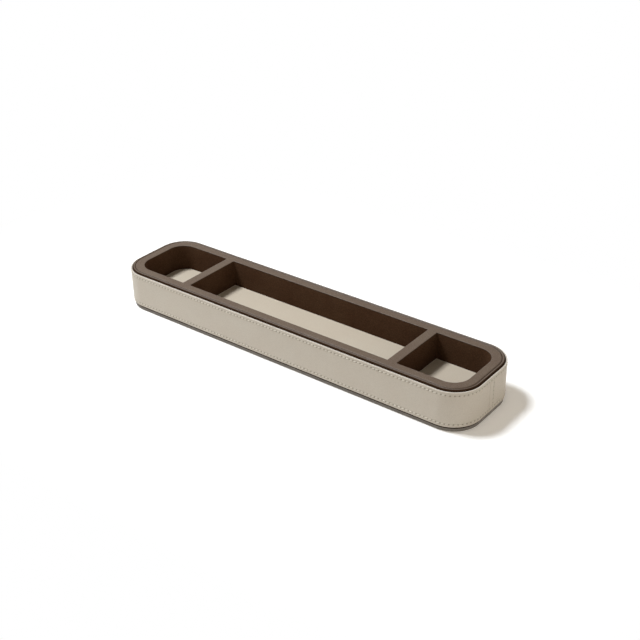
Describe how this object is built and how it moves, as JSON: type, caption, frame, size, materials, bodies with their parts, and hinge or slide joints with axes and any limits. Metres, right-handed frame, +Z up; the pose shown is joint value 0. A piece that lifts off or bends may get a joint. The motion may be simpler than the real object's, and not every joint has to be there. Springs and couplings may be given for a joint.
{
  "type": "pen holder",
  "caption": "Long low pen tray with rounded ends: a square bay at each end and a long pen bay between, leather-lined, with a stitched leather band round it.",
  "frame": {"origin": "middle of the underside, on the surface the tray stands on", "axes": "+X along the tray towards the end with the band's seam, +Y across it to the back, +Z up out of the bays"},
  "size_m": [0.32, 0.071, 0.0325],
  "materials": {
    "board": "matte fibreboard",
    "card": "matte grey card",
    "brown_leather": "dark brown fine-grained leather, satin",
    "cream_leather": "cream fine-grained leather, satin",
    "pad_felt": "brown-grey felt"
  },
  "bodies": {
    "root": {"base_board": "board", "front_wall_board": "board", "back_wall_board": "board", "left_end_board": "board", "right_end_board": "board", "left_divider_board": "board", "right_divider_board": "board", "rim_leather": "brown_leather", "left_bay_lining": "brown_leather", "middle_bay_lining": "brown_leather", "right_bay_lining": "brown_leather", "left_floor_card": "card", "middle_floor_card": "card", "right_floor_card": "card", "left_floor_leather": "cream_leather", "middle_floor_leather": "cream_leather", "right_floor_leather": "cream_leather", "band_leather": "cream_leather", "band_backing": "card", "bottom_panel_card": "card", "bottom_panel_leather": "brown_leather", "base_pad": "pad_felt"}
  },
  "joints": []
}
